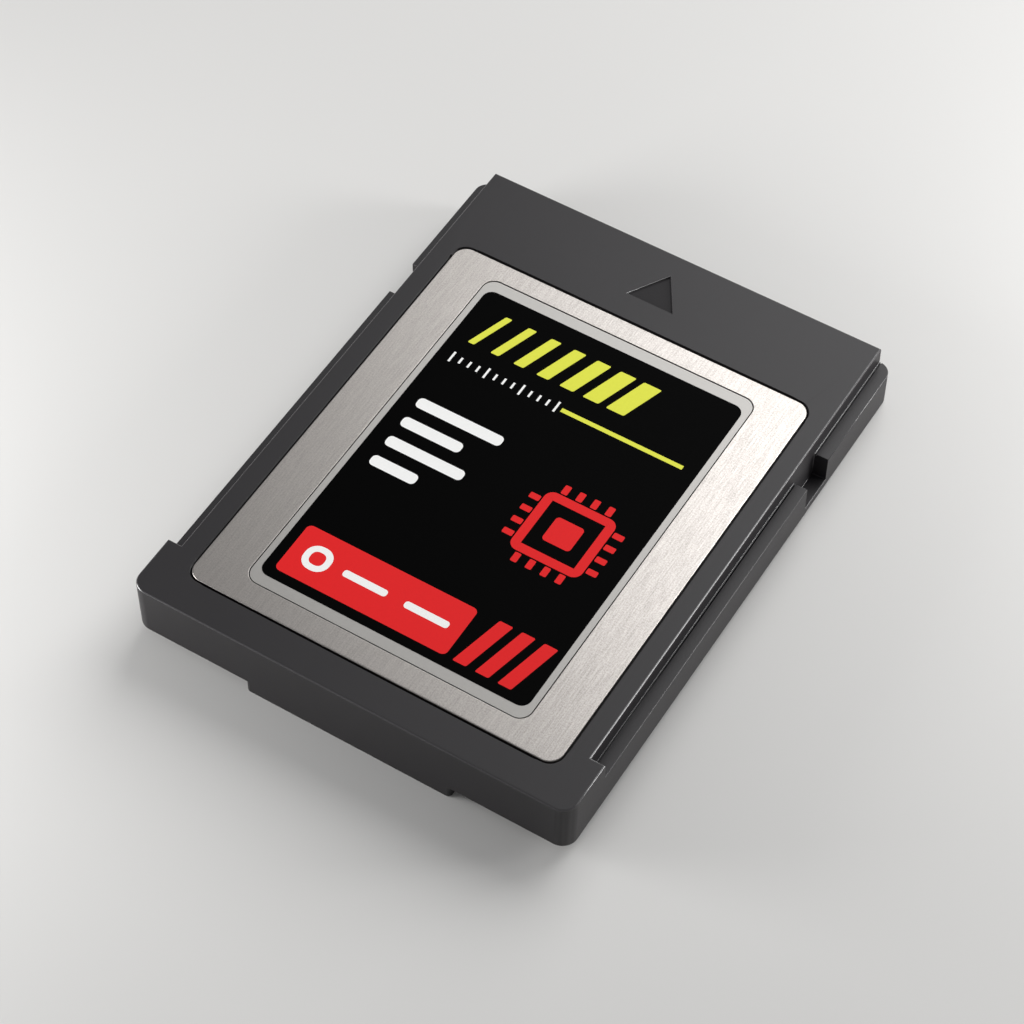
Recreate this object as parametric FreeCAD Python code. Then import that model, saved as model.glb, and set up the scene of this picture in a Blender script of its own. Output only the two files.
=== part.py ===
import FreeCAD, Part
import math
import os

# High-speed memory card with a moulded frame, a steel cover on each face and an edge connector.
# Millimetres. X runs across the label, Y towards the connector end, Z out of the label side.
# The origin is at the middle of the outline, at the height of the underside of the grip lip.

# Outline of the card
card_length = 38.5
card_width = 29.6
card_thickness = 3.8
rear_corner_radius = 1.0
front_corner_radius = 0.9
edge_radius = 0.12

# Guide ledges and latch notches along both sides
ledge_width = 0.94
ledge_drop = 1.23
head_length = 3.9
notch_front_margin = 8.4
notch_length = 2.6
notch_floor_thickness = 0.68

# Grip lip under the rear edge
lip_width = 14.0
lip_length = 1.6
lip_height = 0.9
lip_front_slope = 0.45
lip_end_radius = 0.3

# Insertion arrow sunk in the front of the label side
arrow_width = 3.25
arrow_length = 2.6
arrow_front_margin = 1.7
arrow_depth = 0.25

# Steel covers and the adhesive that holds them
top_cover_side_margin = 1.33
top_cover_rear_margin = 2.29
top_cover_front_margin = 6.23
top_cover_thickness = 0.4
top_cover_corner_radius = 1.5
top_cover_edge_radius = 0.1
top_seat_width = 1.1
bottom_cover_side_margin = 1.9
bottom_cover_rear_margin = 2.1
bottom_cover_front_margin = 0.6
bottom_cover_thickness = 0.3
bottom_cover_corner_radius = 1.0
bottom_seat_width = 0.8
bottom_seat_front_width = 0.6
adhesive_thickness = 0.1
cover_gap = 0.1

# Printed label in its shallow recess
label_side_margin = 3.04
label_rear_margin = 1.68
label_front_margin = 1.5
label_corner_radius = 0.8
label_thickness = 0.1
label_recess_depth = 0.12
label_gap = 0.06

# Circuit board and the moulded pegs that locate it
board_thickness = 0.7
board_under_room = 0.6
board_gap = 0.1
board_corner_radius = 0.5
lug_radius = 1.1
lug_height = 1.0
lug_inset = 0.75
lug_front_margin = 3.2
peg_radius = 0.45
peg_overrun = 0.3
peg_clearance = 0.05

# Edge connector
front_wall = 1.2
housing_length = 5.0
housing_side_wall = 1.4
housing_top_wall = 0.35
housing_base_wall = 0.28
housing_gap = 0.08
ear_length = 1.1
ear_width = 1.0
ear_height = 0.85
slot_height = 1.3
slot_depth = 3.6
slot_side_room = 0.9
mouth_margin = 0.12
mouth_chamfer = 0.3
contact_count = 20
contact_pitch = 0.85
contact_width = 0.4
contact_thickness = 0.15
contact_foot_length = 1.1
contact_tip_margin = 0.45
contact_rise = 0.42
contact_run = 1.3
contact_tip_run = 0.55
contact_bend_radius = 0.4
contact_clearance = 0.04
groove_depth = 0.06
anchor_thickness = 0.2
anchor_foot_length = 0.7
anchor_height = 0.75

# Chips and small components
flash_side_margin = 1.38
flash_gap = 0.5
flash_rear_margin = 1.3
controller_size = 8.0
controller_front_margin = 0.9
middle_bay_length = 6.0
pad_thickness = 0.6
pad_inset = 0.6
power_chip_size = 3.0
power_chip_height = 0.8
crystal_width = 2.0
crystal_length = 1.6
crystal_height = 0.5
inductor_width = 2.5
inductor_length = 2.0
inductor_height = 1.0
side_part_gap = 0.7
capacitor_length = 1.0
capacitor_width = 0.5
capacitor_height = 0.45
capacitor_count = 8
capacitor_pitch = 1.7
capacitor_row_margin = 0.7
resistor_length = 0.6
resistor_width = 0.3
resistor_height = 0.25
resistor_count = 6
resistor_pitch = 1.5
resistor_row_margin = 0.5
under_row_count = 3
under_row_pitch = 3.2
under_row_margin = 2.8

# How far a cutter runs past the face that it opens
overcut = 1.0

# Plan positions that several pieces share
rear_y = -card_length / 2
front_y = card_length / 2
half_width = card_width / 2
upper_half_width = half_width - ledge_width
cover_rear_y = rear_y + top_cover_rear_margin
cover_front_y = front_y - top_cover_front_margin
cover_half_width = upper_half_width - top_cover_side_margin
label_half_width = cover_half_width - label_side_margin
label_rear_y = cover_rear_y + label_rear_margin
label_front_y = cover_front_y - label_front_margin
window_half_width = cover_half_width - top_seat_width
window_rear_y = cover_rear_y + top_seat_width
window_front_y = cover_front_y - top_seat_width
base_half_width = half_width - bottom_cover_side_margin
base_rear_y = rear_y + bottom_cover_rear_margin
base_front_y = front_y - bottom_cover_front_margin
opening_half_width = base_half_width - bottom_seat_width
opening_rear_y = base_rear_y + bottom_seat_width
opening_front_y = base_front_y - bottom_seat_front_width
pocket_front_y = front_y - front_wall
housing_rear_y = pocket_front_y - housing_length
board_front_y = housing_rear_y - board_gap
board_rear_y = opening_rear_y + board_gap
board_half_width = opening_half_width - board_gap
lug_x = window_half_width - lug_inset

# Heights that several pieces share
underside_z = lip_height
top_z = underside_z + card_thickness
ledge_z = top_z - ledge_drop
notch_z = underside_z + notch_floor_thickness
base_seat_z = underside_z + bottom_cover_thickness + adhesive_thickness
board_z = base_seat_z + board_under_room
board_top_z = board_z + board_thickness
top_cover_z = top_z - top_cover_thickness
top_seat_z = top_cover_z - adhesive_thickness
label_z = top_z - label_recess_depth

# Connector values that the frame, the housing and the contacts share
contact_z = board_z - contact_thickness / 2
slot_floor_z = board_z + groove_depth
slot_top_z = slot_floor_z + slot_height
slot_half_width = (contact_count - 1) * contact_pitch / 2 + slot_side_room
housing_half_width = slot_half_width + housing_side_wall
housing_z = board_z - contact_thickness - housing_base_wall
housing_top_z = slot_top_z + housing_top_wall
ear_rear_y = housing_rear_y - ear_length


def block(x0, x1, y0, y1, z0, z1):
    """Plain box between two corners."""
    return Part.makeBox(x1 - x0, y1 - y0, z1 - z0, FreeCAD.Vector(x0, y0, z0))


def rounded_block(x0, x1, y0, y1, z0, z1, rear_radius, front_radius=None):
    """Box whose upright edges are rounded, with one radius at the rear and one at the front."""
    r = rear_radius
    f = rear_radius if front_radius is None else front_radius
    corners = [(x0 + r, y0 + r, r), (x1 - r, y0 + r, r), (x1 - f, y1 - f, f), (x0 + f, y1 - f, f)]
    arcs = []
    for quarter, (cx, cy, radius) in enumerate(corners, start=2):
        centre = FreeCAD.Vector(cx, cy, z0)
        start = 90 * quarter
        arcs.append(Part.makeCircle(radius, centre, FreeCAD.Vector(0, 0, 1), start, start + 90))
    edges = []
    for arc, following in zip(arcs, arcs[1:] + arcs[:1]):
        edges.append(arc)
        edges.append(Part.makeLine(arc.Vertexes[-1].Point, following.Vertexes[0].Point))
    return Part.Face(Part.Wire(edges)).extrude(FreeCAD.Vector(0, 0, z1 - z0))


def ring(outer, inner, z0, z1):
    """Flat ring between two rounded outlines, each given as x, rear, front and radius."""
    outside = rounded_block(-outer[0], outer[0], outer[1], outer[2], z0, z1, outer[3])
    inside = rounded_block(-inner[0], inner[0], inner[1], inner[2], z0, z1, inner[3])
    return outside.cut(inside)


def mirrored(shape):
    """The same shape on the other side of the card."""
    return shape.mirror(FreeCAD.Vector(0, 0, 0), FreeCAD.Vector(1, 0, 0))


def edges_at_height(shape, z):
    """Edges that lie flat at one height."""
    return [e for e in shape.Edges if abs(e.BoundBox.ZMin - z) < 1e-4 and abs(e.BoundBox.ZMax - z) < 1e-4]


def lug_positions():
    """Centres of the four board lugs, two behind the controller and two near the front."""
    middle_y = flash_front_y + lug_radius + board_gap
    front_lug_y = window_front_y - lug_front_margin
    return [(side * lug_x, y) for side in (-1, 1) for y in (middle_y, front_lug_y)]


def make_frame():
    """One moulding: guide ledges, notches, grip lip, both cover seats and the connector pocket."""
    body = rounded_block(-half_width, half_width, rear_y, front_y, underside_z, top_z,
                         rear_corner_radius, front_corner_radius)
    step = block(upper_half_width, half_width + overcut, rear_y + head_length, front_y + overcut,
                 ledge_z, top_z + overcut)
    body = body.cut([step, mirrored(step)])
    body = body.makeFillet(edge_radius, edges_at_height(body, top_z) + edges_at_height(body, underside_z))
    body = body.fuse(make_lip())

    notch_front_y = front_y - notch_front_margin
    notch = block(upper_half_width, half_width + overcut, notch_front_y - notch_length, notch_front_y,
                  notch_z, top_z)
    cuts = [notch, mirrored(notch), arrow_recess()]

    # Label side: the cover's rebate, and the window through its seat
    cuts.append(rounded_block(-cover_half_width - cover_gap, cover_half_width + cover_gap,
                              cover_rear_y - cover_gap, cover_front_y + cover_gap,
                              top_seat_z, top_z + overcut, top_cover_corner_radius + cover_gap))
    cuts.append(block(-window_half_width, window_half_width, window_rear_y, window_front_y,
                      board_z, top_z))

    # Underside: the cover's rebate, the board's opening, and the pocket for the connector and its ears
    cuts.append(rounded_block(-base_half_width - cover_gap, base_half_width + cover_gap,
                              base_rear_y - cover_gap, base_front_y + cover_gap,
                              underside_z - overcut, base_seat_z, bottom_cover_corner_radius + cover_gap))
    cuts.append(block(-opening_half_width, opening_half_width, opening_rear_y, housing_rear_y,
                      underside_z, board_top_z))
    pocket_half_width = housing_half_width + housing_gap
    cuts.append(block(-pocket_half_width, pocket_half_width, housing_rear_y - housing_gap,
                      pocket_front_y, underside_z, housing_top_z + housing_gap))
    cuts.append(block(-pocket_half_width, pocket_half_width, ear_rear_y - anchor_foot_length - housing_gap,
                      housing_rear_y, underside_z, board_top_z + ear_height + housing_gap))
    body = body.cut(cuts + [slot_mouth()])

    for x, y in lug_positions():
        body = body.fuse(board_lug(x, y))
    return body.removeSplitter()


def make_lip():
    """Low ridge across the middle of the rear edge, sloped on its inner side for a fingernail."""
    y0 = rear_y
    y1 = rear_y + lip_length
    root = underside_z + edge_radius
    outline = [(y0, root), (y0, 0), (y1 - lip_front_slope, 0), (y1, underside_z), (y1, root)]
    points = [FreeCAD.Vector(-lip_width / 2, y, z) for y, z in outline]
    ridge = Part.Face(Part.makePolygon(points + points[:1])).extrude(FreeCAD.Vector(lip_width, 0, 0))
    upright = [e for e in ridge.Edges if e.BoundBox.XLength < 1e-6 and e.BoundBox.ZMin < 1e-6
               and e.BoundBox.ZMax > lip_height]
    upright = [e for e in upright if e.BoundBox.YLength < 1e-6]
    return ridge.makeFillet(lip_end_radius, upright)


def arrow_recess():
    """Sunk triangle that points to the end that goes in first."""
    tip_y = front_y - arrow_front_margin
    points = [
        FreeCAD.Vector(-arrow_width / 2, tip_y - arrow_length, top_z - arrow_depth),
        FreeCAD.Vector(arrow_width / 2, tip_y - arrow_length, top_z - arrow_depth),
        FreeCAD.Vector(0, tip_y, top_z - arrow_depth),
    ]
    triangle = Part.Face(Part.makePolygon(points + points[:1]))
    return triangle.extrude(FreeCAD.Vector(0, 0, arrow_depth + overcut))


def slot_mouth():
    """Chamfered opening in the front wall, in line with the connector's slot."""
    def outline(y, grow):
        x = slot_half_width + mouth_margin + grow
        z0 = slot_floor_z - mouth_margin - grow
        z1 = slot_top_z + mouth_margin + grow
        corners = [(-x, z0), (x, z0), (x, z1), (-x, z1), (-x, z0)]
        return Part.makePolygon([FreeCAD.Vector(cx, y, cz) for cx, cz in corners])

    straight = Part.Face(outline(pocket_front_y - front_wall / 2, 0))
    straight = straight.extrude(FreeCAD.Vector(0, 2 * front_wall, 0))
    flare = Part.makeLoft([outline(front_y - mouth_chamfer, 0), outline(front_y, mouth_chamfer)], True)
    return straight.fuse(flare)


def board_lug(x, y):
    """Lug that the board seats against, joined to the side rail, with the peg through the board."""
    reach = window_half_width + edge_radius
    lug = Part.makeCylinder(lug_radius, lug_height, FreeCAD.Vector(x, y, board_top_z))
    web = block(min(x, math.copysign(reach, x)), max(x, math.copysign(reach, x)),
                y - lug_radius, y + lug_radius, board_top_z, board_top_z + lug_height)
    peg_length = board_thickness + peg_overrun
    peg = Part.makeCylinder(peg_radius, peg_length, FreeCAD.Vector(x, y, board_top_z - peg_length))
    return lug.fuse([web, peg])


def make_top_cover():
    """Brushed steel plate with a shallow recess for the label."""
    sheet = rounded_block(-cover_half_width, cover_half_width, cover_rear_y, cover_front_y,
                          top_cover_z, top_z, top_cover_corner_radius)
    sheet = sheet.makeFillet(top_cover_edge_radius, edges_at_height(sheet, top_z))
    half = label_half_width + label_gap
    recess = rounded_block(-half, half, label_rear_y - label_gap, label_front_y + label_gap,
                           label_z, top_z + overcut, label_corner_radius + label_gap)
    return sheet.cut(recess)


def make_label():
    """Printed film that lies in the cover's recess."""
    return rounded_block(-label_half_width, label_half_width, label_rear_y, label_front_y,
                         label_z, label_z + label_thickness, label_corner_radius)


def make_bottom_cover():
    """Plain steel plate that closes the underside."""
    return rounded_block(-base_half_width, base_half_width, base_rear_y, base_front_y,
                         underside_z, underside_z + bottom_cover_thickness, bottom_cover_corner_radius)


def make_top_adhesive():
    """Adhesive frame between the top cover and its seat."""
    outer = (cover_half_width, cover_rear_y, cover_front_y, top_cover_corner_radius)
    inner = (window_half_width, window_rear_y, window_front_y, edge_radius)
    return ring(outer, inner, top_seat_z, top_cover_z)


def make_bottom_adhesive():
    """Adhesive frame between the bottom cover and its seat."""
    outer = (base_half_width, base_rear_y, base_front_y, bottom_cover_corner_radius)
    inner = (opening_half_width, opening_rear_y, opening_front_y, edge_radius)
    return ring(outer, inner, underside_z + bottom_cover_thickness, base_seat_z)


def make_board():
    """Circuit board with four holes for the frame's pegs."""
    board = rounded_block(-board_half_width, board_half_width, board_rear_y, board_front_y,
                          board_z, board_top_z, board_corner_radius)
    holes = [
        Part.makeCylinder(peg_radius + peg_clearance, board_thickness, FreeCAD.Vector(x, y, board_z))
        for x, y in lug_positions()
    ]
    return board.cut(holes)


def contact_positions():
    """Places of the contacts across the card."""
    return [(i - (contact_count - 1) / 2) * contact_pitch for i in range(contact_count)]


def make_housing():
    """Connector body with the card's slot, a groove for each contact and two ears over the board."""
    body = block(-housing_half_width, housing_half_width, housing_rear_y, pocket_front_y,
                 housing_z, housing_top_z)
    ear = block(housing_half_width - ear_width, housing_half_width, ear_rear_y, housing_rear_y,
                board_top_z, board_top_z + ear_height)
    body = body.fuse([ear, mirrored(ear)])
    cuts = [block(-slot_half_width, slot_half_width, pocket_front_y - slot_depth, pocket_front_y + overcut,
                  slot_floor_z, slot_top_z)]
    half = contact_width / 2 + contact_clearance
    groove_z = contact_z - contact_thickness / 2
    for x in contact_positions():
        cuts.append(block(x - half, x + half, pocket_front_y - slot_depth - contact_clearance,
                          pocket_front_y - contact_tip_margin + contact_clearance, groove_z, slot_floor_z))
        cuts.append(block(x - contact_width / 2, x + contact_width / 2, housing_rear_y - overcut,
                          pocket_front_y - slot_depth, groove_z, groove_z + contact_thickness))
    return body.cut(cuts)


def make_contact(x):
    """Spring contact: a foot under the board, a straight run through the housing and a raised tip."""
    foot_y = board_front_y - contact_foot_length
    tip_y = pocket_front_y - contact_tip_margin
    crest_y = tip_y - contact_tip_run
    rise_y = crest_y - contact_run
    crest_z = contact_z + contact_rise
    tip_z = contact_z + contact_thickness
    path = [(foot_y, contact_z), (rise_y, contact_z), (crest_y, crest_z), (tip_y, tip_z)]
    wire = rounded_path(x, path, contact_bend_radius)
    half = contact_width / 2
    z = contact_thickness / 2
    corners = [(-half, -z), (half, -z), (half, z), (-half, z), (-half, -z)]
    section = Part.makePolygon([FreeCAD.Vector(x + cx, foot_y, contact_z + cz) for cx, cz in corners])
    return wire.makePipeShell([section], True, True)


def rounded_path(x, points, radius):
    """Wire through points in a plane across X, with an arc of one radius at each bend."""
    line = [FreeCAD.Vector(x, y, z) for y, z in points]
    edges = []
    start = line[0]
    for before, here, after in zip(line, line[1:], line[2:]):
        into = (here - before).normalize()
        out = (after - here).normalize()
        turn = into.getAngle(out)
        setback = radius * math.tan(turn / 2)
        enter = here - into * setback
        leave = here + out * setback
        bisector = (out - into).normalize()
        centre = here + bisector * (radius / math.cos(turn / 2))
        middle = centre - bisector * radius
        edges.append(Part.LineSegment(start, enter).toShape())
        edges.append(Part.Arc(enter, middle, leave).toShape())
        start = leave
    edges.append(Part.LineSegment(start, line[-1]).toShape())
    return Part.Wire(edges)


def make_anchor():
    """Bent tab that ties the right ear to the board."""
    x1 = housing_half_width
    x0 = housing_half_width - ear_width
    upright = block(x0, x1, ear_rear_y - anchor_thickness, ear_rear_y,
                    board_top_z, board_top_z + anchor_height)
    foot = block(x0, x1, ear_rear_y - anchor_foot_length, ear_rear_y,
                 board_top_z, board_top_z + anchor_thickness)
    return upright.fuse(foot).removeSplitter()


def component(x, y, width, length, height, z=None):
    """Plain component centred on a place, on the board's top unless a height is given."""
    z = board_top_z if z is None else z
    return block(x - width / 2, x + width / 2, y - length / 2, y + length / 2, z, z + height)


def row(count, pitch, y, width, length, height, z=None):
    """Evenly spaced small components, as separate solids."""
    return [component((i - (count - 1) / 2) * pitch, y, width, length, height, z) for i in range(count)]


# Places and sizes of the chips, which fill the room that the frame, the cover and the pads leave
chip_height = top_cover_z - board_top_z - pad_thickness
controller_y = window_front_y - controller_front_margin - controller_size / 2
flash_rear_y = board_rear_y + flash_rear_margin
flash_front_y = controller_y - controller_size / 2 - middle_bay_length
flash_width = window_half_width - flash_side_margin - flash_gap / 2
flash_length = flash_front_y - flash_rear_y
flash_x = (flash_width + flash_gap) / 2
flash_y = (flash_rear_y + flash_front_y) / 2
side_part_x = (controller_size / 2 + lug_x - lug_radius) / 2
power_chip_y = controller_y + (power_chip_size + side_part_gap) / 2
crystal_y = controller_y - (crystal_length + side_part_gap) / 2
inductor_step = (inductor_length + side_part_gap) / 2
capacitor_y = flash_front_y + capacitor_row_margin + capacitor_length / 2
resistor_y = capacitor_y + (capacitor_length + resistor_length) / 2 + resistor_row_margin


def chip_pad(x, y, width, length):
    """Soft pad that fills the room between a chip and the top cover."""
    return component(x, y, width - 2 * pad_inset, length - 2 * pad_inset, pad_thickness,
                     board_top_z + chip_height)


def make_parts():
    """Every piece of the card, by name."""
    controller = (0, controller_y, controller_size, controller_size)
    power_chip = (side_part_x, power_chip_y, power_chip_size, power_chip_size)
    parts = {
        "frame": make_frame(),
        "top_cover": make_top_cover(),
        "bottom_cover": make_bottom_cover(),
        "top_adhesive": make_top_adhesive(),
        "bottom_adhesive": make_bottom_adhesive(),
        "label": make_label(),
        "circuit_board": make_board(),
        "connector_housing": make_housing(),
        "anchor_right": make_anchor(),
        "anchor_left": mirrored(make_anchor()),
        "controller_chip": component(*controller, chip_height),
        "power_chip": component(*power_chip, power_chip_height),
        "crystal": component(side_part_x, crystal_y, crystal_width, crystal_length, crystal_height),
        "controller_pad": chip_pad(*controller),
    }
    for name, side in (("left", -1), ("right", 1)):
        x = side * flash_x
        parts["flash_chip_" + name] = component(x, flash_y, flash_width, flash_length, chip_height)
        parts["flash_pad_" + name] = chip_pad(x, flash_y, flash_width, flash_length)
    for name, side in (("rear", -1), ("front", 1)):
        y = controller_y + side * inductor_step
        inductor = (-side_part_x, y, inductor_width, inductor_length)
        parts["inductor_" + name] = component(*inductor, inductor_height)
    for i, x in enumerate(contact_positions()):
        parts[f"contact_{i + 1:02d}"] = make_contact(x)

    under_z = board_z - capacitor_height
    capacitor = (capacitor_width, capacitor_length, capacitor_height)
    resistor = (resistor_width, resistor_length, resistor_height)
    parts["capacitors"] = Part.makeCompound(row(capacitor_count, capacitor_pitch, capacitor_y, *capacitor))
    parts["resistors"] = Part.makeCompound(row(resistor_count, resistor_pitch, resistor_y, *resistor))
    under = []
    for i in range(under_row_count):
        y = flash_rear_y + under_row_margin + i * under_row_pitch
        under += row(capacitor_count, capacitor_pitch, y, *capacitor, under_z)
    parts["underside_capacitors"] = Part.makeCompound(under)
    return parts


os.makedirs("parts", exist_ok=True)
for node, shape in make_parts().items():
    shape.exportStep(f"parts/{node}.step")
    print(node, "valid" if shape.isValid() else "BROKEN", len(shape.Solids), round(shape.Volume, 3))
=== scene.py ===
import math

import bpy
from mathutils import Euler, Matrix, Vector


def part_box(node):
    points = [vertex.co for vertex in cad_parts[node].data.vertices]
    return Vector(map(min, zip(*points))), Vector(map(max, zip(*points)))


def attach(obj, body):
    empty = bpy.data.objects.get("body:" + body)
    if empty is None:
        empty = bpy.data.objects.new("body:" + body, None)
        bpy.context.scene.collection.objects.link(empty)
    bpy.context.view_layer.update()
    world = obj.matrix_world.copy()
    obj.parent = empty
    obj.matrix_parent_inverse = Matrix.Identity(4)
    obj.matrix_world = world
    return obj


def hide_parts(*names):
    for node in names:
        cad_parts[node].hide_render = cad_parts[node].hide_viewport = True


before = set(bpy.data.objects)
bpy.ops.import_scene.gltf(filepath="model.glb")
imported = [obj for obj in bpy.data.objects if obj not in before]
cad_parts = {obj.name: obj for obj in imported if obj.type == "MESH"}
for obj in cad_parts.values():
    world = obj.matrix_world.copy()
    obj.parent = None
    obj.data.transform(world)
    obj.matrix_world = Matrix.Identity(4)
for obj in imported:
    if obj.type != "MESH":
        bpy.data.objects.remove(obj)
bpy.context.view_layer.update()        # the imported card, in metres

# High-speed memory card: moulded frame, brushed steel covers, printed label, edge connector.
# Pieces are modelled in millimetres and brought to metres when they are finished.
mm = 0.001
touch = 0.01                            # mm, how close counts as lying at a height
smoothAngle = 35                        # degrees, faces that meet at less are shaded as one


def nodeBox(node):
    low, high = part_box(node)
    return low / mm, high / mm


# Camera, at the photograph's angle
camera = {
    "azimuth": 31.523,                  # degrees round from the rear edge
    "elevation": 53.231,
    "roll": 0.166,
    "distance": 187.665,                # mm from the point it looks at
    "nearest": 5,
    "aim": (-0.121, -1.021, 1.297),
    "lens": 110.03,
}


def placeCamera():
    upright = Euler((math.radians(90 - camera["elevation"]), 0, math.radians(camera["azimuth"])))
    turn = upright.to_matrix() @ Matrix.Rotation(math.radians(camera["roll"]), 3, "Z")
    back = turn @ Vector((0, 0, 1))
    place = (Vector(camera["aim"]) + back * camera["distance"]) * mm
    bpy.ops.object.camera_add(location=place, rotation=turn.to_euler())
    made = bpy.context.object
    made.data.lens = camera["lens"]
    made.data.clip_start = camera["nearest"] * mm
    bpy.context.scene.camera = made


# Floor and lamps. Places are in millimetres, light is the brightness of the lamp's face
floor = {
    "size": 6000,
    "rear": (-18.1, 0),                 # y and z where the grip lip rests
    "front": (19.13, 0.9),              # y and z where the front edge rests
}
lamps = {
    "far softbox": {"place": (20, 170, 160), "width": 220, "light": 3.8},
    "rear corner lamp": {"place": (-70, -50, 14), "width": 50, "light": 14},
    "right lamp": {"place": (62, 52, 16), "width": 40, "light": 8},
    "edge lamp": {"place": (152, 92, 59), "width": 40, "light": 16},
}
room = {"colour": "#f4f5f7", "light": 0.28}


def placeFloor():
    slope = math.atan2(floor["front"][1] - floor["rear"][1], floor["front"][0] - floor["rear"][0])
    bpy.ops.mesh.primitive_plane_add(size=floor["size"] * mm, rotation=(slope, 0, 0),
                                     location=(0, floor["rear"][0] * mm, floor["rear"][1] * mm))
    bpy.ops.object.transform_apply(location=True, rotation=True, scale=True)
    made = bpy.context.object
    made.name = "studioFloor"
    made.data.materials.append(paintedBoard())


def placeLamps():
    for name, lamp in lamps.items():
        place = Vector(lamp["place"]) * mm
        turn = (-place).to_track_quat("-Z", "Y").to_euler()
        bpy.ops.object.light_add(type="AREA", location=place, rotation=turn)
        made = bpy.context.object
        made.name = name
        made.visible_camera = False
        made.data.shape = "DISK"
        made.data.size = lamp["width"] * mm
        face = math.pi * (lamp["width"] * mm / 2) ** 2
        made.data.energy = lamp["light"] * face * math.pi
    world = bpy.data.worlds.new("room")
    world.use_nodes = True
    sky = world.node_tree.nodes["Background"]
    sky.inputs["Color"].default_value = linear(room["colour"])
    sky.inputs["Strength"].default_value = room["light"]
    bpy.context.scene.world = world


# Node helpers
def linear(code):
    shares = [int(code[i:i + 2], 16) / 255 for i in (1, 3, 5)]
    return [s / 12.92 if s <= 0.04045 else ((s + 0.055) / 1.055) ** 2.4 for s in shares] + [1]


def perMetre(size):
    return 1 / (size * mm)              # noise scale for a feature of that many millimetres


def newMaterial(name):
    made = bpy.data.materials.new(name)
    made.use_nodes = True
    tree = made.node_tree
    return made, tree, tree.nodes["Principled BSDF"], addNode(tree, "TexCoord").outputs["Object"]


def addNode(tree, kind, settings=None, links=None):
    node = tree.nodes.new("ShaderNode" + kind)
    for key, value in (settings or {}).items():
        if isinstance(key, int) or key in node.inputs:
            node.inputs[key].default_value = value
        else:
            setattr(node, key, value)
    for key, source in (links or {}).items():
        tree.links.new(source, node.inputs[key])
    return node


def noise(tree, place, size, detail, **more):
    settings = {"Scale": perMetre(size), "Detail": detail, **more}
    return addNode(tree, "TexNoise", settings, {"Vector": place}).outputs["Fac"]


def tone(tree, share, low, high):
    return addNode(tree, "Mix", {"data_type": "RGBA", 6: low, 7: high}, {0: share}).outputs[2]


def span(tree, share, low, high):
    return addNode(tree, "MapRange", {"To Min": low, "To Max": high}, {"Value": share}).outputs["Result"]


def relief(tree, height, strength, depth):
    settings = {"Strength": strength, "Distance": depth * mm}
    return addNode(tree, "Bump", settings, {"Height": height}).outputs["Normal"]


def alongX(tree):
    return addNode(tree, "CombineXYZ", {"X": 1.0}).outputs["Vector"]


def dress(tree, shader, links, settings):
    for key, source in links.items():
        tree.links.new(source, shader.inputs[key])
    for key, value in settings.items():
        shader.inputs[key].default_value = value


# Matt white painted board: even and pale, with no gloss
boardFinish = {"colour": "#d6d5d3", "cloud": "#d9d8d6", "patch": 40, "roughness": 0.9, "specular": 0.1}


def paintedBoard():
    made, tree, shader, place = newMaterial("painted board")
    cloud = noise(tree, place, boardFinish["patch"], 3)
    dress(tree, shader, {
        "Base Color": tone(tree, cloud, linear(boardFinish["colour"]), linear(boardFinish["cloud"])),
    }, {"Roughness": boardFinish["roughness"], "Specular IOR Level": boardFinish["specular"]})
    return made


# Moulded glass-filled nylon: dark grey, satin, with the fine spark-eroded grain of its mould
frameFinish = {
    "colour": "#201e20",
    "patchColour": "#252325",
    "patch": 6,                         # mm
    "grain": 0.07,
    "grainDepth": 0.004,
    "grainStrength": 0.6,
    "roughness": (0.40, 0.50),
    "specular": 0.36,
}


# The same nylon on the flats along its outer edges: shinier, and painted paler as a highlight
edgeHighlightFinish = dict(frameFinish, colour="#343234", patchColour="#3c3a3c", grainDepth=0.001, roughness=(0.20, 0.26),
                  specular=1.0)


# And in the sunk arrow: dull, and painted a little darker as shade in the recess, so that the arrow reads
# darker than the face round it
arrowShadeFinish = dict(frameFinish, colour="#1e1c1e", patchColour="#222022", roughness=(0.64, 0.74), specular=0.3)


def mouldedNylon(name, finish):
    made, tree, shader, place = newMaterial(name)
    grain = noise(tree, place, finish["grain"], 2)
    cloud = noise(tree, place, finish["patch"], 4)
    dress(tree, shader, {
        "Base Color": tone(tree, cloud, linear(finish["colour"]), linear(finish["patchColour"])),
        "Roughness": span(tree, grain, *finish["roughness"]),
        "Normal": relief(tree, grain, finish["grainStrength"], finish["grainDepth"]),
    }, {"Specular IOR Level": finish["specular"]})
    return made


# Brushed stainless steel: fine lines along the card, and a faint mottle that the brushing leaves
steelFinish = {
    "colour": "#b7b2ae",
    "shade": "#94908c",
    "lineWidth": 0.06,                  # mm, coarser than the real lines so that they show
    "lineLength": 1.4,
    "lineShare": 0.4,                   # how far the lines show over the mottle
    "mottle": 0.10,
    "contrast": (0.38, 0.62),           # part of the noise that spans shade to colour
    "depth": 0.0012,
    "strength": 0.35,
    "roughness": (0.29, 0.38),
    "anisotropy": 0.5,
}


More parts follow.
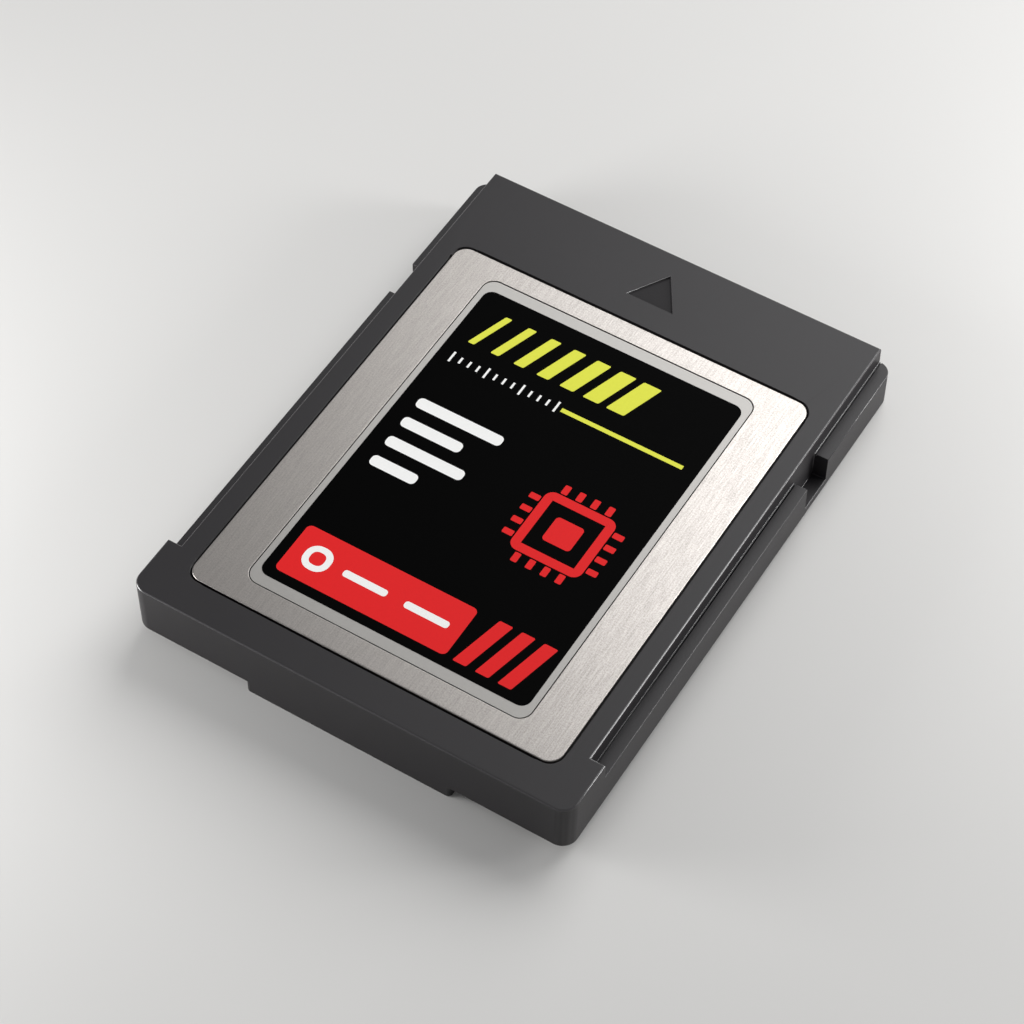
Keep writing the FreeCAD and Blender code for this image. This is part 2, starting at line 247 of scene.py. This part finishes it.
def brushedSteel():
    made, tree, shader, place = newMaterial("brushed stainless steel")
    stretch = (perMetre(steelFinish["lineWidth"]), perMetre(steelFinish["lineLength"]), perMetre(1))
    lines = addNode(tree, "Mapping", {"Scale": stretch}, {"Vector": place})
    streaks = addNode(tree, "TexNoise", {"Scale": 1, "Detail": 4, "Roughness": 0.6},
                      {"Vector": lines.outputs["Vector"]})
    mottle = noise(tree, place, steelFinish["mottle"], 4, Roughness=0.65)
    share = addNode(tree, "Math", {"operation": "MULTIPLY", 1: 1 - steelFinish["lineShare"]}, {0: mottle})
    mixed = addNode(tree, "Math", {"operation": "MULTIPLY_ADD", 1: steelFinish["lineShare"]},
                    {0: streaks.outputs["Fac"], 2: share.outputs[0]})
    faint, strong = steelFinish["contrast"]
    brushing = addNode(tree, "MapRange", {"From Min": faint, "From Max": strong},
                       {"Value": mixed.outputs[0]}).outputs["Result"]
    smooth, rough = steelFinish["roughness"]
    dress(tree, shader, {
        "Base Color": tone(tree, brushing, linear(steelFinish["shade"]), linear(steelFinish["colour"])),
        "Roughness": span(tree, brushing, rough, smooth),
        "Normal": relief(tree, brushing, steelFinish["strength"], steelFinish["depth"]),
        "Tangent": alongX(tree),
    }, {"Metallic": 1, "Anisotropic": steelFinish["anisotropy"]})
    return made


# Metallised polyester film: smooth silver with a soft shine, spread across the roll that it was drawn along
filmFinish = {
    "colour": "#9b9996",
    "cloud": "#a4a29f",
    "patch": 0.4,
    "roughness": (0.50, 0.56),
    "anisotropy": 0.7,
}


def silverFilm():
    made, tree, shader, place = newMaterial("metallised polyester film")
    cloud = noise(tree, place, filmFinish["patch"], 3)
    dress(tree, shader, {
        "Base Color": tone(tree, cloud, linear(filmFinish["colour"]), linear(filmFinish["cloud"])),
        "Roughness": span(tree, cloud, *filmFinish["roughness"]),
        "Tangent": alongX(tree),
    }, {"Metallic": 1, "Anisotropic": filmFinish["anisotropy"]})
    return made


# Screen-printed ink: flat, even colour with the slight tooth of the mesh
inkFinish = {"tooth": 0.15, "shade": 0.93, "roughness": (0.45, 0.55)}
inks = {                                # colour and specular level
    "black": ("#020202", 0.02),
    "red": ("#e12224", 0.1),
    "yellow": ("#e0e34d", 0.1),
    "white": ("#f4f4f2", 0.2),
}


def printedInk(name):
    colour, specular = inks[name]
    made, tree, shader, place = newMaterial(name + " ink")
    tooth = noise(tree, place, inkFinish["tooth"], 2)
    darker = [c * inkFinish["shade"] for c in linear(colour)[:3]] + [1]
    dress(tree, shader, {
        "Base Color": tone(tree, tooth, darker, linear(colour)),
        "Roughness": span(tree, tooth, *inkFinish["roughness"]),
    }, {"Specular IOR Level": specular})
    return made


# Plain finishes of the pieces inside. Each is a colour pair, a grain in mm, a roughness and metal or not
innerFinishes = {
    "liquid-crystal polymer": ("#1b1b1d", "#242427", 0.08, 0.45, 0),       # black connector moulding
    "gold-plated bronze": ("#e3b25c", "#eec06e", 0.10, 0.22, 1),           # contacts, smooth and bright
    "tinned brass": ("#c9c9c6", "#d6d6d2", 0.12, 0.35, 1),                 # solder tabs
    "green solder mask": ("#0d3a25", "#12492f", 0.30, 0.30, 0),            # coated glass-epoxy board
    "black moulding resin": ("#1d1d1e", "#262627", 0.06, 0.60, 0),         # chip packages, dull
    "drawn nickel silver": ("#c4c0b8", "#d0ccc4", 0.15, 0.28, 1),          # crystal can
    "sintered ferrite": ("#3b3a3c", "#464547", 0.10, 0.65, 0),             # inductors
    "grey thermal silicone": ("#8e949a", "#9aa0a6", 0.25, 0.80, 0),        # soft pads
    "barium titanate": ("#a98962", "#b7976f", 0.10, 0.50, 0),              # capacitors, tan
    "glazed alumina": ("#1f2226", "#2a2d31", 0.10, 0.35, 0),               # resistors, black glaze
    "acrylic adhesive": ("#0d0d0e", "#151516", 0.20, 0.60, 0),             # black die-cut bonding foam
}
innerGrain = {"depth": 0.003, "strength": 0.3, "roughnessSpread": 0.05}
innerNodes = {
    "connector_housing": "liquid-crystal polymer",
    "contact_": "gold-plated bronze",
    "anchor_": "tinned brass",
    "circuit_board": "green solder mask",
    "controller_chip": "black moulding resin",
    "flash_chip_": "black moulding resin",
    "power_chip": "black moulding resin",
    "crystal": "drawn nickel silver",
    "inductor_": "sintered ferrite",
    "controller_pad": "grey thermal silicone",
    "flash_pad_": "grey thermal silicone",
    "capacitors": "barium titanate",
    "underside_capacitors": "barium titanate",
    "resistors": "glazed alumina",
    "top_adhesive": "acrylic adhesive",
    "bottom_adhesive": "acrylic adhesive",
}


def innerMaterial(name):
    low, high, size, roughness, metallic = innerFinishes[name]
    made, tree, shader, place = newMaterial(name)
    grain = noise(tree, place, size, 3)
    spread = innerGrain["roughnessSpread"]
    dress(tree, shader, {
        "Base Color": tone(tree, grain, linear(low), linear(high)),
        "Roughness": span(tree, grain, roughness - spread, roughness + spread),
        "Normal": relief(tree, grain, innerGrain["strength"], innerGrain["depth"]),
    }, {"Metallic": metallic})
    return made


def finishInside(made):
    for node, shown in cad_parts.items():
        for start, name in innerNodes.items():
            if node.startswith(start):
                shown.data.materials.clear()
                shown.data.materials.append(made[name])
                break


# Modelling helpers
def clearSelection():
    if bpy.context.object and bpy.context.object.mode != "OBJECT":
        bpy.ops.object.mode_set(mode="OBJECT")
    bpy.ops.object.select_all(action="DESELECT")


def pickOut(piece, kind, test):
    bpy.ops.object.mode_set(mode="EDIT")
    bpy.ops.mesh.select_mode(type=kind)
    bpy.ops.mesh.select_all(action="DESELECT")
    bpy.ops.object.mode_set(mode="OBJECT")
    mesh = piece.data
    elements = {"VERT": mesh.vertices, "EDGE": mesh.edges, "FACE": mesh.polygons}[kind]
    for element in elements:
        if kind == "EDGE":
            element.select = test(*[mesh.vertices[v].co for v in element.vertices])
        elif kind == "FACE":
            element.select = test(element.center)
        else:
            element.select = test(element.co)
    bpy.ops.object.mode_set(mode="EDIT")


def applyModifier(piece, kind, **settings):
    clearSelection()
    piece.select_set(True)
    bpy.context.view_layer.objects.active = piece
    modifier = piece.modifiers.new(kind.lower(), kind)
    for key, value in settings.items():
        setattr(modifier, key, value)
    bpy.ops.object.modifier_apply(modifier=modifier.name)


def cutAway(piece, cutter):
    applyModifier(piece, "BOOLEAN", object=cutter, operation="DIFFERENCE", solver="EXACT")
    bpy.data.objects.remove(cutter)


def addBlock(name, low, high, radius=0, segments=8):
    clearSelection()
    low, high = Vector(low), Vector(high)
    bpy.ops.mesh.primitive_cube_add(size=1, location=(low + high) / 2)
    piece = bpy.context.object
    piece.name = piece.data.name = name
    piece.scale = high - low
    bpy.ops.object.transform_apply(location=True, rotation=True, scale=True)
    if radius:
        pickOut(piece, "EDGE", lambda a, b: abs(a.z - b.z) > touch)
        bpy.ops.mesh.bevel(offset=radius, segments=segments, affect="EDGES")
        bpy.ops.object.mode_set(mode="OBJECT")
    return piece


def roundRim(piece, test, width, segments):
    pickOut(piece, "EDGE", test)
    bpy.ops.mesh.bevel(offset=width, segments=segments, affect="EDGES")
    bpy.ops.object.mode_set(mode="OBJECT")


def finishPiece(piece, materials, nodes=()):
    clearSelection()
    piece.select_set(True)
    bpy.context.view_layer.objects.active = piece
    piece.scale = (mm, mm, mm)
    bpy.ops.object.transform_apply(location=True, rotation=True, scale=True)
    bpy.ops.object.shade_smooth_by_angle(angle=math.radians(smoothAngle))
    # Flat faces keep their own normal, and only the small ones beside them bend
    applyModifier(piece, "WEIGHTED_NORMAL", keep_sharp=True, weight=100, thresh=0)
    for place, material in enumerate(materials):
        if place < len(piece.data.materials):
            piece.data.materials[place] = material
        else:
            piece.data.materials.append(material)
    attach(piece, "root")
    if nodes:
        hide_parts(*nodes)
    print("finished", piece.name, len(piece.data.polygons), "faces")


# Frame: the imported moulding's shape, with small flats along its outer edges that carry a painted highlight
frameEdges = {
    "weld": 0.002,                      # mm between corners that are one
    "flatness": 1,                      # degrees, faces that meet at less are one
    "sharp": 40,                        # degrees, edges that turn more are cut to a flat
    "width": 0.08,
    "margin": 0.3,                      # mm from the top cover to where the outer edges begin
    "lowest": 0.95,                     # height of the underside and a little more
    "slope": (0.25, 0.95),              # upright share of a flat's normal
}
# Fine groove along each guide ledge, at the foot of the upper body
ledgeGroove = {
    "start": 13.93,
    "width": 0.09,
    "ledge": 3.47,                      # height of the ledge
    "depth": 0.12,
    "overcut": 0.5,
    "rear": -15.35,
    "front": 20,
}
# The plate's seat, cut out at its corners to the plate's own tighter ones
coverSeat = {"gap": 0.06, "aboveFloor": 0.06, "overcut": 1, "cornerGap": 0.1}
# Sunk arrow: the space it fills, and how far its floor comes up to the depth that shows
arrow = {
    "halfWidth": 1.9,
    "rear": 14.6,
    "front": 17.9,
    "bottom": 4.3,
    "floorTop": 4.6,                    # the raised floor still lies under this
    "lift": 0.12,
}


def isOutside(place, coverLow, coverHigh):
    margin = frameEdges["margin"]
    beside = (abs(place.x) > coverHigh.x + margin or place.y < coverLow.y - margin
              or place.y > coverHigh.y + margin)
    return beside and place.z > frameEdges["lowest"]


def isArrowFloor(place):
    within = abs(place.x) < arrow["halfWidth"] and arrow["rear"] < place.y < arrow["front"]
    return within and arrow["bottom"] < place.z < arrow["floorTop"]


def copyFrame():
    clearSelection()
    piece = bpy.data.objects.new("frameMoulding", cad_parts["frame"].data.copy())
    bpy.context.scene.collection.objects.link(piece)
    piece.select_set(True)
    bpy.context.view_layer.objects.active = piece
    piece.scale = (1 / mm, 1 / mm, 1 / mm)
    bpy.ops.object.transform_apply(location=True, rotation=True, scale=True)
    bpy.ops.object.mode_set(mode="EDIT")
    bpy.ops.mesh.select_all(action="SELECT")
    bpy.ops.mesh.remove_doubles(threshold=frameEdges["weld"])
    bpy.ops.mesh.dissolve_limited(angle_limit=math.radians(frameEdges["flatness"]), delimit=set())
    bpy.ops.object.mode_set(mode="OBJECT")
    return piece


def flattenEdges(piece, coverLow, coverHigh):
    bpy.ops.object.mode_set(mode="EDIT")
    bpy.ops.mesh.select_mode(type="EDGE")
    bpy.ops.mesh.select_all(action="DESELECT")
    bpy.ops.mesh.edges_select_sharp(sharpness=math.radians(frameEdges["sharp"]))
    bpy.ops.object.mode_set(mode="OBJECT")
    for edge in piece.data.edges:
        ends = [piece.data.vertices[v].co for v in edge.vertices]
        if not all(isOutside(end, coverLow, coverHigh) for end in ends):
            edge.select = False
    bpy.ops.object.mode_set(mode="EDIT")
    # The new flats take the paler finish, a painted highlight
    bpy.ops.mesh.bevel(offset=frameEdges["width"], segments=1, affect="EDGES", clamp_overlap=True, material=1)
    bpy.ops.object.mode_set(mode="OBJECT")
    # Sloping faces along the outer edges take the same painted highlight
    least, most = frameEdges["slope"]
    for face in piece.data.polygons:
        if least < abs(face.normal.z) < most and isOutside(face.center, coverLow, coverHigh):
            face.material_index = 1


def cutLedgeGrooves(piece):
    inner, outer = ledgeGroove["start"], ledgeGroove["start"] + ledgeGroove["width"]
    floorZ, topZ = ledgeGroove["ledge"] - ledgeGroove["depth"], ledgeGroove["ledge"] + ledgeGroove["overcut"]
    for side in (-1, 1):
        x0, x1 = sorted((side * inner, side * outer))
        cutAway(piece, addBlock("grooveCutter", (x0, ledgeGroove["rear"], floorZ),
                                (x1, ledgeGroove["front"], topZ)))


def cutSeatCorners(piece, coverLow, coverHigh):
    gap = Vector((coverSeat["gap"], coverSeat["gap"], 0))
    low = coverLow - gap + Vector((0, 0, coverSeat["aboveFloor"]))
    high = coverHigh + gap + Vector((0, 0, coverSeat["overcut"]))
    cutAway(piece, addBlock("seatCutter", low, high, topCover["cornerRadius"] + coverSeat["cornerGap"], 12))


def raiseArrowFloor(piece):
    pickOut(piece, "VERT", isArrowFloor)
    bpy.ops.transform.translate(value=(0, 0, arrow["lift"]))
    bpy.ops.object.mode_set(mode="OBJECT")
    # The arrow's floor takes the dull nylon, painted a little darker as shade in the recess
    for face in piece.data.polygons:
        if isArrowFloor(face.center) and face.normal.z > 0.9:
            face.material_index = 2


def makeFrameMoulding():
    piece = copyFrame()
    nylon = [mouldedNylon("moulded nylon", frameFinish), mouldedNylon("nylon with painted edge highlight", edgeHighlightFinish),
             mouldedNylon("dull nylon with painted shade", arrowShadeFinish)]
    piece.data.materials.clear()
    for material in nylon:
        piece.data.materials.append(material)
    coverLow, coverHigh = nodeBox("top_cover")
    flattenEdges(piece, coverLow, coverHigh)
    cutLedgeGrooves(piece)
    cutSeatCorners(piece, coverLow, coverHigh)
    raiseArrowFloor(piece)
    finishPiece(piece, nylon, ["frame"])


# Top cover: stamped plate with a shallow recess for the label
topCover = {
    "clearance": 0.07,
    "cornerRadius": 0.9,
    "edgeRadius": 0.07,
    "recessGap": 0.06,
    "recessDepth": 0.12,
    "recessRadius": 0.86,
    "rimMargin": 0.2,                   # mm round the label in which the recess has its rim
    "rimRadius": 0.03,
}


def makeTopCover(steel, adhesive):
    low, high = nodeBox("top_cover")
    clearance = Vector((topCover["clearance"], topCover["clearance"], 0))
    plate = addBlock("topCoverPlate", low + clearance, high - clearance, topCover["cornerRadius"], 12)
    roundRim(plate, lambda a, b: min(a.z, b.z) > high.z - touch, topCover["edgeRadius"], 4)
    labelLow, labelHigh = nodeBox("label")
    gap = Vector((topCover["recessGap"], topCover["recessGap"], 0))
    floorZ = high.z - topCover["recessDepth"]
    cutAway(plate, addBlock("recessCutter", Vector((labelLow.x, labelLow.y, floorZ)) - gap,
                            Vector((labelHigh.x, labelHigh.y, high.z + 1)) + gap,
                            topCover["recessRadius"], 10))
    reach = topCover["rimMargin"]

    def isOnRim(a, b):
        inside = all(abs(v.x) < labelHigh.x + reach and labelLow.y - reach < v.y < labelHigh.y + reach
                     for v in (a, b))
        return inside and min(a.z, b.z) > high.z - touch

    roundRim(plate, isOnRim, topCover["rimRadius"], 2)
    # The recess floor takes the black adhesive finish, which shows only in the thin gap round the label as a
    # painted shade line
    pickOut(plate, "FACE", lambda middle: abs(middle.z - floorZ) < touch)
    bpy.ops.object.mode_set(mode="OBJECT")
    plate.data.materials.append(steel)
    plate.data.materials.append(adhesive)
    for face in plate.data.polygons:
        face.material_index = 1 if face.select else 0
    finishPiece(plate, [steel, adhesive], ["top_cover"])


# Bottom cover: plain stamped plate, its edge rounded on the outside
bottomCover = {"cornerRadius": 1.0, "edgeRadius": 0.08}


def makeBottomCover(steel):
    low, high = nodeBox("bottom_cover")
    plate = addBlock("bottomCoverPlate", low, high, bottomCover["cornerRadius"], 10)
    roundRim(plate, lambda a, b: max(a.z, b.z) < low.z + touch, bottomCover["edgeRadius"], 3)
    finishPiece(plate, [steel], ["bottom_cover"])


# Label: silver film, with a black field and generic marks printed on it in thin layers of ink
label = {
    "cornerRadius": 0.8,
    "edgeRadius": 0.015,
    "inkThickness": 0.008,
    "blackHalfWidth": 9.09,
    "blackRear": -14.52,
    "blackFront": 10.73,
    "blackRadius": 0.65,
}
# Flat marks: middle x, middle y, width, height, slant, corner radius, outline width or 0 for solid
redMarks = [
    (-2.55, -12.0, 11.7, 3.7, 0, 0.35, 0),          # band along the rear
    (4.25, -12.0, 0.9, 3.7, 0.9, 0.1, 0),           # and the slashes beside it
    (5.75, -12.0, 0.9, 3.7, 0.9, 0.1, 0),
    (7.25, -12.0, 0.9, 3.7, 0.9, 0.1, 0),
    (4.6, -3.0, 4.8, 4.8, 0, 0.6, 0.6),             # chip outline with its pins
    (4.6, -3.0, 1.9, 1.9, 0, 0.25, 0),
]
for step in (-1.5, -0.5, 0.5, 1.5):
    for side in (-1, 1):
        redMarks.append((4.6 + step, -3.0 + 2.85 * side, 0.42, 0.7, 0, 0.08, 0))
        redMarks.append((4.6 + 2.85 * side, -3.0 + step, 0.7, 0.42, 0, 0.08, 0))
yellowMarks = [(-7.7 + 1.7 * i, 7.9, 0.45 + 0.13 * i, 2.9, 1.0, 0.1, 0) for i in range(7)]
yellowMarks += [(3.9, 4.9, 8.4, 0.3, 0, 0, 0)]
whiteMarks = [(-8.1 + 0.62 * i, 4.95, 0.14, 0.5 + 0.35 * (i % 4 == 0), 0, 0, 0) for i in range(13)]
whiteMarks += [
    (-5.0, 0.9, 6.0, 0.8, 0, 0.3, 0),               # rounded bars
    (-5.9, -0.8, 4.2, 0.8, 0, 0.3, 0),
    (-5.3, -2.5, 5.4, 0.8, 0, 0.3, 0),
    (-6.4, -4.2, 3.2, 0.8, 0, 0.3, 0),
    (-6.6, -12.0, 1.8, 1.8, 0, 0.8, 0.42),          # ring and bars on the red band
    (-3.3, -12.0, 3.0, 0.5, 0, 0.2, 0),
    (0.9, -12.0, 3.0, 0.5, 0, 0.2, 0),
]


def addMark(x, y, width, height, slant, radius, outline):
    clearSelection()
    bpy.ops.mesh.primitive_plane_add(size=1, location=(x, y, 0))
    mark = bpy.context.object
    mark.scale = (width, height, 1)
    bpy.ops.object.transform_apply(location=True, rotation=True, scale=True)
    if slant:
        pickOut(mark, "VERT", lambda v: v.y > y)
        bpy.ops.transform.translate(value=(slant, 0, 0))
    if radius:
        pickOut(mark, "VERT", lambda v: True)
        bpy.ops.mesh.bevel(offset=radius, segments=6, affect="VERTICES")
    if outline:
        bpy.ops.mesh.select_mode(type="FACE")
        bpy.ops.mesh.select_all(action="SELECT")
        bpy.ops.mesh.inset(thickness=outline)
        bpy.ops.mesh.delete(type="FACE")
    bpy.ops.object.mode_set(mode="OBJECT")
    return mark


def printInk(name, marks, base, ink):
    made = [addMark(*mark) for mark in marks]
    clearSelection()
    for mark in made:
        mark.select_set(True)
    bpy.context.view_layer.objects.active = made[0]
    if len(made) > 1:
        bpy.ops.object.join()
    layer = bpy.context.object
    layer.name = layer.data.name = name
    bpy.ops.object.mode_set(mode="EDIT")
    bpy.ops.mesh.select_all(action="SELECT")
    bpy.ops.transform.translate(value=(0, 0, base))
    bpy.ops.object.mode_set(mode="OBJECT")
    applyModifier(layer, "SOLIDIFY", thickness=label["inkThickness"], offset=1)
    finishPiece(layer, [printedInk(ink)])


def makeLabel():
    low, high = nodeBox("label")
    film = addBlock("labelFilm", low, high, label["cornerRadius"], 10)
    roundRim(film, lambda a, b: min(a.z, b.z) > high.z - touch, label["edgeRadius"], 2)
    finishPiece(film, [silverFilm()], ["label"])
    middleY = (label["blackRear"] + label["blackFront"]) / 2
    field = [(0, middleY, 2 * label["blackHalfWidth"], label["blackFront"] - label["blackRear"], 0,
              label["blackRadius"], 0)]
    top = high.z + label["inkThickness"]
    printInk("printBlack", field, high.z, "black")
    printInk("printRed", redMarks, top, "red")
    printInk("printYellow", yellowMarks, top, "yellow")
    # White stands a little above the red band that it is printed over
    printInk("printWhite", whiteMarks, top + label["inkThickness"] / 4, "white")


bpy.context.scene.view_settings.view_transform = "Standard"
placeCamera()
placeFloor()
placeLamps()
print("camera, floor and lamps are placed")
steel = brushedSteel()
inner = {name: innerMaterial(name) for name in innerFinishes}
makeFrameMoulding()
makeTopCover(steel, inner["acrylic adhesive"])
makeBottomCover(steel)
makeLabel()
finishInside(inner)
print("every piece has its finish")
